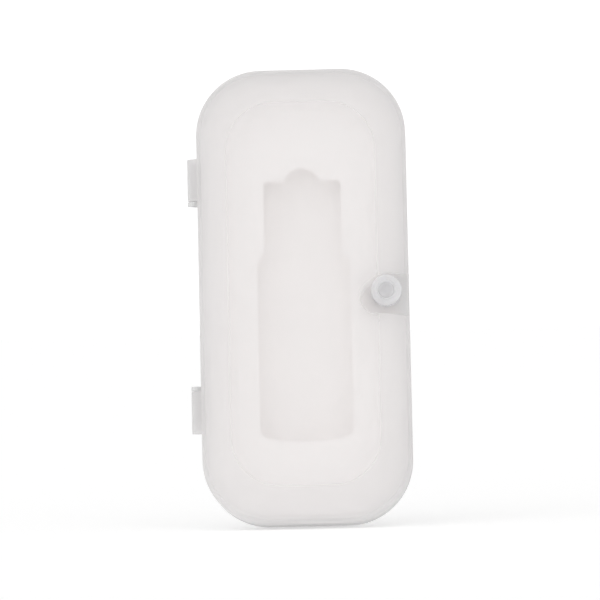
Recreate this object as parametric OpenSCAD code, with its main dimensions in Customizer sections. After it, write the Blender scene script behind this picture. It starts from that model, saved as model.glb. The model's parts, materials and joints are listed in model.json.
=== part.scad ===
// Hinged presentation case for a USB memory stick, in frosted polypropylene,
// with a die-cut foam insert. It stands on its lower end, +Z up. The lid faces
// -Y, the hinges are at -X and the snap button is at +X. Each piece is drawn
// lying on its back, with x across, y along the case and z = 0 at the parting
// line, and stand() then turns it upright. All sizes are in millimetres.

/* [Case] */
// Outside width, without the hinges
case_w = 46; // [42:0.5:60]
// Outside length, from the foot to the top
case_h = 100; // [92:0.5:130]
// Depth of the base behind the parting line
base_depth = 12; // [10:0.1:18]
// Depth of the lid in front of the parting line
lid_depth = 9; // [7.4:0.1:12]
// Corner radius of the outline
corner_r = 14.3; // [11:0.1:15.4]
// Gap between the two rims when the case is shut
rim_gap = 0.1; // [0.05:0.01:0.2]

/* [Base] */
// Wall of the base
base_wall = 1.8; // [1.5:0.05:2.2]
// Thickness of the rear panel
base_floor = 1.4; // [1:0.05:2]
// Radius of the base's rear edge
rear_r = 3; // [2:0.1:4]
// Height of the lip that stands up inside the lid
lip_h = 1.2; // [0.8:0.05:1.6]
// Gap between the lip and the lid's wall
lip_gap = 0.15; // [0.1:0.01:0.2]

/* [Lid] */
// Wall of the lid
lid_wall = 1; // [0.8:0.05:1.2]
// Thickness of the raised front panel
panel_t = 1.2; // [0.9:0.05:1.6]
// Height of the lid's straight rim band
band_h = 2.4; // [2:0.05:3]
// Radius over the edge of the rim band
rim_r = 1.2; // [0.8:0.05:1.5]
// Width of the curved shoulder at the sides
shoulder_w = 6.5; // [5.5:0.1:7.5]
// Width of the curved shoulder at the two ends
shoulder_h = 7.75; // [6.5:0.05:9]
// Corner radius of the raised front panel
panel_r = 10.7; // [9:0.1:12]
// Step from the shoulder up to the raised front panel
panel_step = 0.3; // [0.15:0.05:0.5]

/* [Hinges] */
// Distance of each hinge's middle from the middle between them
hinge_offset = 25.1; // [20:0.1:32]
// How far the hinges' common middle lies above the middle of the case
hinge_rise = 0.6; // [-1:0.1:1]
// Length of a whole hinge
hinge_len = 10.3; // [8:0.1:14]
// Radius of the hinge barrels
barrel_r = 1.45; // [1.3:0.05:1.5]
// How far the hinges stand out of the side
hinge_out = 2.2; // [2:0.05:2.4]
// Thickness of the base's hinge lug
lug_t = 0.9; // [0.7:0.05:1.4]
// Radius of the hinge pins
pin_r = 0.6; // [0.5:0.05:0.7]
// Length of the pin inside the lid's barrel
pin_len = 8; // [5:0.1:8.2]
// Running clearance round the pin
pin_clear = 0.05; // [0.02:0.01:0.08]
// Clearance between a barrel and the other shell
hinge_clear = 0.25; // [0.2:0.01:0.35]
// Gap between the lug and the barrel, along the pin
side_gap = 0.2; // [0.15:0.01:0.3]

/* [Snap button] */
// Gap between the button's head and the well round it
well_gap = 0.25; // [0.2:0.05:0.4]
// Distance of the well's lower corner, by its centre, from the case's side
well_inset = 7; // [6.6:0.1:7.2]
// How far that centre lies below the middle of the case
well_drop = 1.3; // [0.9:0.1:1.5]
// Level of the well's floor, in front of the parting line
well_z = 3; // [2.8:0.05:3.4]
// Wall and floor thickness of the well
well_t = 1; // [0.8:0.05:1.2]
// Distance of the button's axis from the case's side
button_inset = 4.9; // [4.6:0.1:5]
// How far the button's axis lies above the middle of the case
button_rise = 0.3; // [0:0.1:0.4]
// Radius of the button's head
button_r = 3.35; // [3:0.05:3.4]
// Height of the button's head above the well's floor
button_h = 5.2; // [4:0.1:5.4]
// Radius of the hollow in the head
hollow_r = 1.75; // [1.4:0.05:2]
// Depth of the hollow in the head
hollow_d = 2.6; // [2:0.1:4.6]
// Radius of the neck held in the lid
neck_r = 2; // [1.8:0.05:2.4]
// Radius of the shank that goes into the base
shank_r = 1.5; // [1.2:0.05:1.6]
// Length of the shank below the well's floor
shank_len = 5; // [4:0.1:5.4]
// Radial clearance of the shank in its socket
shank_clear = 0.25; // [0.2:0.01:0.35]
// Radius of the boss that holds the socket
boss_r = 3.2; // [2.9:0.05:3.3]
// Clearance between the boss and the well above it
boss_gap = 0.4; // [0.3:0.05:0.6]

/* [Foam] */
// Thickness of the backing sheet
backing_t = 5; // [2:0.1:6]
// Clearance between the foam and the shells
foam_gap = 0.3; // [0.2:0.05:0.5]
// How far the foam stands in front of the parting line
foam_rise = 0.9; // [0.4:0.05:1]
// Height of the pocket's lower end above the foot
pocket_z = 18.8; // [14:0.1:24]
// Width of the pocket's wide lower part
pocket_w = 20.4; // [16:0.1:21]
// Length of the wide lower part
pocket_len = 38.6; // [30:0.1:46]
// Width of the pocket's narrow upper part
neck_w = 17; // [12:0.1:17.6]
// Length of the narrow upper part
neck_len = 15.6; // [12:0.1:21]
// Height of the curve between the two widths
flare_h = 2.6; // [1:0.1:3]
// Radius of the finger notch at the top
notch_r = 3.9; // [3:0.1:4.5]
// Corner radius of the pocket's lower end
pocket_r = 2.4; // [1.5:0.1:3]
// Corner radius of its upper end
pocket_top_r = 0.8; // [0.5:0.1:2]

/* [Hidden] */

ARC = 96;                         // segments of a round feature
CORNER_STEPS = 8;                 // segments of a corner in the domed surfaces
LEDGE = 0.02;                     // how far the domed surface starts inside the lid's round band
PRESS = 0.01;                     // interference of the pressed-in pieces
OVER = 1;                         // how far a cutter runs past what it cuts

side_wall_y = base_depth - rear_r;             // depth of the flat foot
mid_y = case_h / 2;
axis_out = hinge_out - barrel_r;               // distance of the hinge axis from the case's side
axis_x = -case_w / 2 - axis_out;
barrel_len = hinge_len - lug_t - side_gap;
well_x = case_w / 2 - well_inset;
well_r = button_r + well_gap;                  // of both of the well's rounded corners
button_x = case_w / 2 - button_inset;
button_y = mid_y + button_rise;
boss_top = well_z - well_t - boss_gap;
socket_end = well_z - shank_len - 1;
foam_inset = base_wall + foam_gap;
foam_floor = base_floor - base_depth;          // where the backing sheet lies
backing_top = foam_floor + backing_t;
finger_y = pocket_len + flare_h + neck_len;    // top of the narrow part, from the pocket's end
UPPER = 1;
LOWER = -1;

// Turns a piece that lies on its back upright, with the origin under the middle of the foot
module stand() {
    translate([0, -side_wall_y / 2, 0]) rotate([90, 0, 0]) children();
}

// Rounded rectangle about the middle of the case, with true arcs
module outline(w, h, r) {
    translate([0, mid_y]) {
        square([w - 2 * r, h], center = true);
        square([w, h - 2 * r], center = true);
        for (sx = [-1, 1], sy = [-1, 1])
            translate([sx * (w / 2 - r), sy * (h / 2 - r)]) circle(r, $fn = ARC);
    }
}

// The same outline as a prism between two levels
module block(inset, z0, z1) {
    translate([0, 0, z0]) linear_extrude(z1 - z0)
        outline(case_w - 2 * inset, case_h - 2 * inset, corner_r - inset);
}

// One ring of points of a domed surface: a rounded rectangle at level z
function ring(w, h, r, z) = [
    for (c = [0:3], i = [0:CORNER_STEPS])
        let (a = 90 * c + 90 * i / CORNER_STEPS,
             sx = (c == 0 || c == 3) ? 1 : -1,
             sy = (c < 2) ? 1 : -1)
        [sx * (w / 2 - r) + r * cos(a), mid_y + sy * (h / 2 - r) + r * sin(a), z]
];

// Solid through a stack of such rings, from the lowest to the highest
module loft(rings) {
    n = len(rings[0]);
    top = len(rings) - 1;
    polyhedron(
        points = [for (one = rings) each one],
        faces = concat(
            [[for (j = [0:n - 1]) j]],
            [for (i = [0:top - 1], j = [0:n - 1])
                let (k = (j + 1) % n) each [
                    [i * n + j, (i + 1) * n + j, (i + 1) * n + k],
                    [i * n + j, (i + 1) * n + k, i * n + k]]],
            [[for (j = [n - 1:-1:0]) top * n + j]]));
}

// Lid profile as [share of the shoulder's width, level]: an arc over the rim, a
// curve drawn by three points up the shoulder, then the step to the front panel
rim_share = rim_r / shoulder_w;
rim_end = [rim_share * (1 - cos(75)), band_h + rim_r * sin(75)];
shoulder_mid = [0.34, band_h + 0.71 * (lid_depth - band_h)];
shoulder_top = [1, lid_depth - panel_step];
function shoulder_at(t) =
    (1 - t) * (1 - t) * rim_end + 2 * t * (1 - t) * shoulder_mid + t * t * shoulder_top;
lid_profile = concat(
    [for (a = [0:25:75]) [rim_share * (1 - cos(a)), band_h + rim_r * sin(a)]],
    [for (i = [1:6]) shoulder_at(i / 6)],
    [[1 + panel_step / shoulder_w, lid_depth]]);

// The lid's domed solid, drawn in by inset and ending at the level top
module lid_dome(inset, top) {
    squeeze = (top - band_h) / (lid_depth - band_h);
    loft([for (p = lid_profile)
        ring(case_w - 2 * (inset + LEDGE + p[0] * shoulder_w),
             case_h - 2 * (inset + LEDGE + p[0] * shoulder_h),
             corner_r - inset - LEDGE + (panel_r - corner_r) * p[0],
             band_h + (p[1] - band_h) * squeeze)]);
}

// The base's rear part, with a rounded edge
module base_back() {
    mirror([0, 0, 1])
        loft([for (a = [0:15:90])
            let (inset = rear_r * (1 - cos(a)))
            ring(case_w - 2 * inset, case_h - 2 * inset, corner_r - inset,
                 side_wall_y + rear_r * sin(a))]);
}

// Runs its children at both hinges; the upper one has its lug below it, the lower one above it
module at_hinge(which) {
    translate([axis_x, mid_y + hinge_rise + which * hinge_offset, 0]) rotate([90, 0, 0])
        mirror([0, 0, which > 0 ? 0 : 1]) children();
}

// From here on z runs along the hinge, with the lug at the +z end, and y is the depth
lug_z = hinge_len / 2 - lug_t;
barrel_z = -hinge_len / 2;

// Cross-section of a barrel with the strap that joins it to its shell
module barrel_section(level) {
    lean = 125;
    reach = axis_out + 0.9 * lid_wall;
    root = [barrel_r * cos(lean), barrel_r * sin(lean)];
    circle(barrel_r, $fn = ARC);
    polygon([[0, level], root,
             [reach, root[1] + (reach - root[0]) / tan(180 - lean)],
             [reach, level]]);
}

// The well's outline, open to the case's side, as a prism between two levels
module latch_slot(r, z0, z1) {
    low = [well_x, mid_y - well_drop];
    high = [button_x, button_y];
    out = case_w / 2 + OVER;
    slant = [low[1] - high[1], high[0] - low[0]] * r / norm(high - low);
    translate([0, 0, z0]) {
        for (end = [low, high]) translate(end) cylinder(r = r, h = z1 - z0, $fn = ARC);
        linear_extrude(z1 - z0) polygon([
            [low[0], low[1] - r], [out, low[1] - r], [out, high[1] + r],
            [high[0], high[1] + r], high, high + slant, low + slant, low]);
    }
}

// Rear tray: walls, rounded rear edge, lip, socket boss and the two hinge lugs
module base_shell() {
    color([0.88, 0.88, 0.87, 0.6]) stand() difference() {
        union() {
            difference() {
                union() {
                    block(0, -side_wall_y, 0);
                    base_back();
                    block(lid_wall + lip_gap, -OVER, lip_h);
                }
                block(base_wall, foam_floor, lip_h + OVER);
            }
            translate([button_x, button_y, foam_floor - base_floor / 2])
                cylinder(r = boss_r, h = boss_top - foam_floor + base_floor / 2, $fn = ARC);
            for (which = [UPPER, LOWER])
                at_hinge(which) translate([0, 0, lug_z]) linear_extrude(lug_t)
                    mirror([0, 1]) barrel_section(0);
        }
        translate([button_x, button_y, socket_end])
            cylinder(r = shank_r + shank_clear, h = boss_top - socket_end + OVER, $fn = ARC);
        for (which = [UPPER, LOWER]) at_hinge(which) {
            translate([0, 0, barrel_z - side_gap])
                cylinder(r = barrel_r + hinge_clear, h = barrel_len + 2 * side_gap, $fn = ARC);
            translate([0, 0, lug_z - OVER])
                cylinder(r = pin_r - PRESS, h = lug_t + 2 * OVER, $fn = ARC);
        }
    }
}

// Front cover: rim band, domed shoulder, raised panel, button well and the two hinge barrels
module lid_shell() {
    color([0.92, 0.92, 0.91, 0.5]) stand() difference() {
        union() {
            difference() {
                union() {
                    block(0, rim_gap, band_h);
                    lid_dome(0, lid_depth);
                }
                block(lid_wall, 0, band_h);
                lid_dome(lid_wall, lid_depth - panel_t);
            }
            intersection() {
                lid_dome(0, lid_depth);
                latch_slot(well_r + well_t, band_h, lid_depth + OVER);
            }
            intersection() {
                block(0, rim_gap, band_h);
                latch_slot(well_r + well_t, well_z - well_t, band_h);
            }
            for (which = [UPPER, LOWER])
                at_hinge(which) translate([0, 0, barrel_z]) linear_extrude(barrel_len)
                    barrel_section(rim_gap);
        }
        latch_slot(well_r, well_z, lid_depth + OVER);
        translate([button_x, button_y, 0]) cylinder(r = neck_r, h = lid_depth, $fn = ARC);
        for (which = [UPPER, LOWER]) at_hinge(which) {
            translate([0, 0, lug_z - side_gap - pin_len - side_gap])
                cylinder(r = pin_r + pin_clear, h = pin_len + 2 * side_gap + OVER, $fn = ARC);
            translate([-barrel_r - OVER, 0, lug_z - side_gap])
                cube([barrel_r + OVER + axis_out + lid_wall,
                      barrel_r + hinge_clear, lug_t + 2 * side_gap]);
        }
    }
}

// Foam outline, clear of the walls and of the socket boss
module foam_outline() {
    difference() {
        outline(case_w - 2 * foam_inset, case_h - 2 * foam_inset, corner_r - foam_inset);
        translate([button_x, button_y]) {
            circle(boss_r + foam_gap, $fn = ARC);
            translate([0, -boss_r - foam_gap])
                square([button_inset, 2 * (boss_r + foam_gap)]);
        }
    }
}

// Plain sheet under the insert; it is the floor of the pocket
module foam_backing() {
    color([0.94, 0.94, 0.93]) stand()
        translate([0, 0, foam_floor]) linear_extrude(backing_t) foam_outline();
}

// Half width of the pocket over the curve between its two widths, for t from 0 to 1
function flare_at(t) = (pocket_w + (neck_w - pocket_w) * (1 - cos(180 * t)) / 2) / 2;

// Pocket in the shape of a memory stick, with a finger notch over its narrow end
module pocket_outline() {
    steps = 8;
    translate([0, pocket_z]) {
        for (side = [-1, 1])
            translate([side * (pocket_w / 2 - pocket_r), pocket_r]) circle(pocket_r, $fn = ARC);
        translate([-pocket_w / 2 + pocket_r, 0]) square([pocket_w - 2 * pocket_r, 2 * pocket_r]);
        translate([-pocket_w / 2, pocket_r]) square([pocket_w, pocket_len - pocket_r]);
        polygon(concat(
            [for (i = [0:steps]) [flare_at(i / steps), pocket_len + flare_h * i / steps]],
            [for (i = [steps:-1:0]) [-flare_at(i / steps), pocket_len + flare_h * i / steps]]));
        translate([-neck_w / 2, pocket_len + flare_h])
            square([neck_w, neck_len - pocket_top_r]);
        translate([-neck_w / 2 + pocket_top_r, finger_y - 2 * pocket_top_r])
            square([neck_w - 2 * pocket_top_r, 2 * pocket_top_r]);
        for (side = [-1, 1])
            translate([side * (neck_w / 2 - pocket_top_r), finger_y - pocket_top_r])
                circle(pocket_top_r, $fn = ARC);
        translate([0, finger_y - notch_r / 4]) circle(notch_r, $fn = ARC);
    }
}

// Die-cut layer with the pocket through it
module foam_insert() {
    color([0.97, 0.97, 0.96]) stand()
        translate([0, 0, backing_top]) linear_extrude(foam_rise - backing_top) difference() {
            foam_outline();
            pocket_outline();
        }
}

// Plain round pin, pressed into the lug and running in the barrel
module hinge_pin(which) {
    color([0.86, 0.86, 0.85]) stand() at_hinge(which)
        translate([0, 0, lug_z - side_gap - pin_len])
            cylinder(r = pin_r, h = pin_len + side_gap + lug_t, $fn = ARC);
}

module hinge_pin_upper() { hinge_pin(UPPER); }
module hinge_pin_lower() { hinge_pin(LOWER); }

// Button: a hollow domed head, a neck pressed into the lid, and a shank for the socket
module snap_button() {
    crown = 0.7;                                // radius over the head's front edge
    color([0.84, 0.85, 0.86, 0.8]) stand() translate([button_x, button_y, well_z]) {
        difference() {
            union() {
                cylinder(r = button_r, h = button_h - crown, $fn = ARC);
                rotate_extrude($fn = ARC) translate([0, button_h - crown]) {
                    square([button_r - crown, crown]);
                    intersection() {
                        translate([button_r - crown, 0]) circle(crown, $fn = ARC);
                        square([button_r, crown]);
                    }
                }
            }
            translate([0, 0, button_h - hollow_d])
                cylinder(r = hollow_r, h = hollow_d + OVER, $fn = ARC);
        }
        translate([0, 0, -well_t]) cylinder(r = neck_r + PRESS, h = well_t, $fn = ARC);
        translate([0, 0, -shank_len]) cylinder(r = shank_r, h = shank_len - well_t, $fn = ARC);
    }
}

base_shell();
lid_shell();
foam_backing();
foam_insert();
hinge_pin_upper();
hinge_pin_lower();
snap_button();
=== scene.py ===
"""Looks of a hinged frosted case with a foam insert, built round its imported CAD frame."""

import json
import logging
import math
from dataclasses import dataclass, field
from enum import Enum
from typing import Callable, Iterable, Sequence

import bmesh
import bpy
import numpy as np
from mathutils import Matrix, Vector
from mathutils.geometry import delaunay_2d_cdt


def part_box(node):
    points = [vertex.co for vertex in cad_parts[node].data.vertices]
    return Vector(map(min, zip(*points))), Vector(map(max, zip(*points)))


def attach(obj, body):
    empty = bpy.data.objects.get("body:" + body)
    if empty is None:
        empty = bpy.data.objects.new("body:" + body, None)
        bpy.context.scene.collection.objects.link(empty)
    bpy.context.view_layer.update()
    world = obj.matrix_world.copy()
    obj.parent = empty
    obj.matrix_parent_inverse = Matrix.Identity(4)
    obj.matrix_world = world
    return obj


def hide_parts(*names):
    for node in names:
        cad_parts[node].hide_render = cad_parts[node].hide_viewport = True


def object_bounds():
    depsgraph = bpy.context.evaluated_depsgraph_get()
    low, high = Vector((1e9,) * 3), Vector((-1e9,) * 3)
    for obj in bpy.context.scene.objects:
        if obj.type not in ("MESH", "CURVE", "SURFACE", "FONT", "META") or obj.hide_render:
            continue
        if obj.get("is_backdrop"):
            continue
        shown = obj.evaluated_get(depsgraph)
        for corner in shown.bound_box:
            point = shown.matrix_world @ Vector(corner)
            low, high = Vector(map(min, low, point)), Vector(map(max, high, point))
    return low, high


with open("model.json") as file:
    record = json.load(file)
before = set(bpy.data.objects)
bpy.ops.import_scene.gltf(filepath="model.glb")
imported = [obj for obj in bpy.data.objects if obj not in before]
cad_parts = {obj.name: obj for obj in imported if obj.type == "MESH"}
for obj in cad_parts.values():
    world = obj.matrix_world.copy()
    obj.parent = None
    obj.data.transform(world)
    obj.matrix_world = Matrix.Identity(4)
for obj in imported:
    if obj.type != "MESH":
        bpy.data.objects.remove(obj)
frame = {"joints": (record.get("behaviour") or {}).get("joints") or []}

CAD_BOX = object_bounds()
MM = 0.001
WELD = 1e-4                       # millimetres; points closer than this are one
CLEARNESS = "clearness"           # attribute of the lid: the share of light that passes straight
WHITE = (1.0, 1.0, 1.0, 1.0)
LOG = logging.getLogger("frosted_case")

Array = np.ndarray


# --- curves and grids --------------------------------------------------------------------


def arc(centre: tuple[float, float], radius: float, start: float, end: float, steps: int) -> Array:
    """Points along a circle.

    Args:
        centre: The circle's centre.
        radius: Its radius.
        start: First angle, in degrees.
        end: Last angle, in degrees.
        steps: Number of chords.

    Returns:
        An array of steps + 1 points.
    """
    a = np.radians(np.linspace(start, end, steps + 1))
    return np.stack([centre[0] + radius * np.cos(a), centre[1] + radius * np.sin(a)], axis=1)


def rounded_distance(p: Array, half_w: Array, half_h: Array, radius: Array) -> Array:
    """Signed distance from a rounded rectangle about the origin.

    It is the length of the part of (|p| - half size + radius) that is above zero, plus its
    largest coordinate where both are below zero, less the radius.

    Args:
        p: Points, one row each.
        half_w: Half the width, one value or one for each point.
        half_h: Half the height.
        radius: Corner radius.

    Returns:
        One distance for each point, negative inside.
    """
    qx = np.abs(p[:, 0]) - half_w + radius
    qy = np.abs(p[:, 1]) - half_h + radius
    outside = np.hypot(np.maximum(qx, 0), np.maximum(qy, 0))
    return outside + np.minimum(np.maximum(qx, qy), 0) - radius


def bisect(test: Callable[[Array], Array], low: Array, high: Array, rounds: int = 44) -> Array:
    """Finds where test turns from false to true between low and high, for all values at once.

    Args:
        test: Takes an array of values and says for each whether it is past the turn.
        low: Values that are not past it.
        high: Values that are.
        rounds: How often the range is halved.

    Returns:
        The turning values.
    """
    for _ in range(rounds):
        middle = (low + high) / 2
        past = test(middle)
        low, high = np.where(past, low, middle), np.where(past, middle, high)
    return (low + high) / 2


@dataclass
class Patchwork:
    """Collects grids and triangles as arrays, then makes one welded mesh of them."""

    points: list[Array] = field(default_factory=list)
    faces: list[list[int]] = field(default_factory=list)
    count: int = 0

    def add_points(self, points: Array) -> int:
        """Adds points.

        Args:
            points: The points, one row each.

        Returns:
            The index of the first.
        """
        first = self.count
        self.points.append(np.asarray(points, float))
        self.count += len(points)
        return first

    def add_grid(self, rows: Array, flip: bool = False) -> None:
        """Adds a grid whose rows are closed rings, as quads between neighbouring rows.

        Args:
            rows: Array of rows by columns by 3.
            flip: True to turn the faces over.
        """
        n, m = rows.shape[:2]
        first = self.add_points(rows.reshape(-1, 3))
        i, j = np.meshgrid(np.arange(n - 1), np.arange(m), indexing="ij")
        k = (j + 1) % m
        quads = np.stack([i * m + j, i * m + k, (i + 1) * m + k, (i + 1) * m + j], axis=-1)
        quads = quads.reshape(-1, 4) + first
        self.faces.extend((quads[:, ::-1] if flip else quads).tolist())

    def add_cap(self, ring: Array, flip: bool = False) -> None:
        """Closes a flat ring with one face.

        Args:
            ring: The ring's points in order.
            flip: True to turn the face over.
        """
        first = self.add_points(ring)
        order = list(range(first, first + len(ring)))
        self.faces.append(order[::-1] if flip else order)

    def add_triangles(self, points: Array, triangles: Array, flip: bool = False) -> None:
        """Adds triangles over their own points."""
        first = self.add_points(points)
        self.faces.extend(((triangles[:, ::-1] if flip else triangles) + first).tolist())

    def build(self, name: str, place: Callable[[Array], Array]) -> bpy.types.Object:
        """Makes the mesh object, welded and with its normals outward.

        Args:
            name: The piece's name.
            place: Turns local millimetres into the frame's metres.

        Returns:
            The new object, at the origin, with its place in its mesh.
        """
        mesh = bpy.data.meshes.new(name)
        mesh.from_pydata(place(np.concatenate(self.points)), [], self.faces)
        work = bmesh.new()
        work.from_mesh(mesh)
        bmesh.ops.remove_doubles(work, verts=work.verts, dist=WELD * MM)
        bmesh.ops.dissolve_degenerate(work, edges=work.edges, dist=WELD * MM / 10)
        bmesh.ops.recalc_face_normals(work, faces=work.faces)
        work.to_mesh(mesh)
        work.free()
        piece = bpy.data.objects.new(name, mesh)
        bpy.context.scene.collection.objects.link(piece)
        return piece


def solid(rows: Array) -> Patchwork:
    """The closed solid through a stack of rings, ready to build.

    Args:
        rows: Array of rows by columns by 3, each row a flat closed ring.

    Returns:
        The side between the rings and a cap on the first and the last.
    """
    made = Patchwork()
    made.add_grid(rows)
    made.add_cap(rows[0], flip=True)
    made.add_cap(rows[-1])
    return made


def carve(piece: bpy.types.Object, tools: Sequence[bpy.types.Object], how: str) -> None:
    """Unites a piece with other closed solids or cuts them out of it, and removes them.

    Args:
        piece: The piece that is changed.
        tools: The other solids.
        how: UNION or DIFFERENCE.
    """
    for tool in tools:
        cut = piece.modifiers.new("cut", "BOOLEAN")
        cut.operation, cut.solver, cut.object = how, "EXACT", tool
        bpy.context.view_layer.update()
        seen = piece.evaluated_get(bpy.context.evaluated_depsgraph_get())
        mesh = bpy.data.meshes.new_from_object(seen)
        piece.modifiers.clear()
        old = piece.data
        piece.data = mesh
        bpy.data.meshes.remove(old)
        bpy.data.objects.remove(tool)


def smooth(piece: bpy.types.Object, sharp_over: float = 35.0) -> None:
    """Shades a piece smoothly, apart from edges sharper than an angle in degrees."""
    piece.data.shade_smooth()
    piece.data.set_sharp_from_angle(angle=math.radians(sharp_over))


# --- the case's shape ---------------------------------------------------------------------


@dataclass(frozen=True)
class CaseSpace:
    """The case's overall sizes as the frame gives them, in millimetres, and its local axes.

    Pieces are worked out lying on their backs: x across, y from the middle towards the top
    and z forwards from the parting line. place() stands them up in the frame.
    """

    half_w: float
    half_h: float
    parting: float
    lid_depth: float
    base_depth: float
    axis_x: float

    @classmethod
    def from_frame(cls) -> "CaseSpace":
        """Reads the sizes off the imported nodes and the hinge.

        Returns:
            The case's sizes.
        """
        base_lo, base_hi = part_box("base_shell")
        lid_lo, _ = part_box("lid_shell")
        hinge = frame["joints"][0]["pos_m"]
        return cls(
            half_w=base_hi.x / MM,
            half_h=(base_hi.z - base_lo.z) / MM / 2,
            parting=hinge[1] / MM,
            lid_depth=(hinge[1] - lid_lo.y) / MM,
            base_depth=(base_hi.y - hinge[1]) / MM,
            axis_x=hinge[0] / MM,
        )

    def place(self, p: Array) -> Array:
        """Stands points up: (x, y, z) goes to (x, parting - z, y + half the height), in metres."""
        return np.stack([p[:, 0], self.parting - p[:, 2], p[:, 1] + self.half_h], axis=1) * MM

    def flat(self, p: Array) -> Array:
        """Takes points in the frame's metres back to the case's plane: x and y in millimetres."""
        return np.stack([p[:, 0] / MM, p[:, 2] / MM - self.half_h], axis=1)


@dataclass(frozen=True)
class Outline:
    """Rounded-rectangle rings that share one way of spacing their points.

    A ring is drawn in by its own insets at the sides and the ends. Its straight sides carry
    the same shares of their length on every ring, closer together beside the button's well.
    """

    half_w: float
    half_h: float
    radius: float = 14.3
    least_radius: float = 0.4
    corner_steps: int = 22
    end_steps: int = 14
    fine_reach: float = 7.01
    fine_step: float = 0.16
    coarse_steps: int = 25

    def side_shares(self) -> Array:
        """Places along a straight side, fine near the middle and coarse beyond.

        Returns:
            Shares of the side, from -1 to 1.
        """
        straight = self.half_h - self.radius
        fine = np.arange(0, self.fine_reach, self.fine_step) / straight
        coarse = np.linspace(fine[-1], 1, self.coarse_steps + 1)[1:]
        upper = np.concatenate([fine, coarse])
        return np.concatenate([-upper[:0:-1], upper])

    def ring(self, inset_w: float, inset_h: float, radius: float) -> Array:
        """One closed ring, anticlockwise from the lower end of its right side.

        Args:
            inset_w: How far the sides are drawn in.
            inset_h: How far the ends are drawn in.
            radius: The corner radius.

        Returns:
            The ring's points in the plane.
        """
        w, h = self.half_w - inset_w, self.half_h - inset_h
        sx, sy = w - radius, h - radius
        side = self.side_shares()[:-1]
        end = np.linspace(1, -1, self.end_steps + 1)[:-1]
        n = self.corner_steps
        parts = [
            np.stack([np.full_like(side, w), side * sy], axis=1),
            arc((sx, sy), radius, 0, 90, n)[:-1],
            np.stack([end * sx, np.full_like(end, h)], axis=1),
            arc((-sx, sy), radius, 90, 180, n)[:-1],
            np.stack([np.full_like(side, -w), -side * sy], axis=1),
            arc((-sx, -sy), radius, 180, 270, n)[:-1],
            np.stack([-end * sx, np.full_like(end, -h)], axis=1),
            arc((sx, -sy), radius, 270, 360, n)[:-1],
        ]
        return np.concatenate(parts)

    def stack(self, profile: Iterable[tuple[float, float]]) -> Array:
        """Rings carried along a profile of (inset, level), with corners that stay parallel.

        Args:
            profile: Insets from the outline and levels, in millimetres.

        Returns:
            Array of rows by columns by 3.
        """
        rows = []
        for inset, level in profile:
            ring = self.ring(inset, inset, max(self.radius - inset, self.least_radius))
            rows.append(np.column_stack([ring, np.full(len(ring), level)]))
        return np.stack(rows)


@dataclass(frozen=True)
class Dome:
    """One face of the lid: a rim edge, a curved shoulder and a raised flat panel.

    Its height depends on the share of the shoulder that a point is in: 0 on the outline, 1 at
    the panel's edge. Each share has its own ring, whose insets and corner radius change in
    step with it.
    """

    outline: Outline
    inset: float
    band: float
    top: float
    shoulder_w: float = 6.5
    shoulder_h: float = 7.75
    panel_radius: float = 10.7
    rim_radius: float = 1.2
    rim_turn: float = 75.0
    bend: tuple[float, float] = (0.34, 0.71)
    step: float = 0.3
    step_run: float = 0.3
    full_top: float = 9.0

    def profile(self) -> tuple[Array, Array]:
        """Shares and levels: an arc over the rim, a curve drawn by three points, and a step.

        Returns:
            The shares, rising, and the level at each.
        """
        share = self.rim_radius / self.shoulder_w
        a = np.radians(np.linspace(0, self.rim_turn, 11))
        rim = np.stack([share * (1 - np.cos(a)), self.band + self.rim_radius * np.sin(a)], axis=1)
        middle = np.array([self.bend[0], self.band + self.bend[1] * (self.full_top - self.band)])
        end = np.array([1.0, self.full_top - self.step])
        t = np.linspace(0, 1, 25)[1:, None]
        curve = (1 - t) ** 2 * rim[-1] + 2 * t * (1 - t) * middle + t**2 * end
        s = np.linspace(0, 1, 6)[1:, None]
        ease = np.concatenate([s, s * s * (3 - 2 * s)], axis=1)
        rise = end + ease * np.array([self.step_run / self.shoulder_w, self.step])
        line = np.concatenate([rim, curve, rise])
        squeeze = (self.top - self.band) / (self.full_top - self.band)
        return line[:, 0], self.band + (line[:, 1] - self.band) * squeeze

    def insets(self, share: Array) -> tuple[Array, Array, Array]:
        """Side inset, end inset and corner radius of the ring at a share."""
        radius = self.outline.radius - self.inset + (self.panel_radius - self.outline.radius) * share
        return self.inset + share * self.shoulder_w, self.inset + share * self.shoulder_h, radius

    def ring(self, share: float) -> Array:
        """The ring of points at a share."""
        return self.outline.ring(*self.insets(share))

    def share(self, p: Array) -> Array:
        """Share of the shoulder that each point in the plane is in, found by closing in on it."""

        def outside(share: Array) -> Array:
            """Whether each point is outside the ring at its share."""
            inset_w, inset_h, radius = self.insets(share)
            o = self.outline
            return rounded_distance(p, o.half_w - inset_w, o.half_h - inset_h, radius) > 0

        return bisect(outside, np.zeros(len(p)), np.full(len(p), 1.2))

    def level(self, p: Array) -> Array:
        """Height of the dome over points in the plane, read off the profile at their shares."""
        return np.interp(self.share(p), *self.profile())


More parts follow.
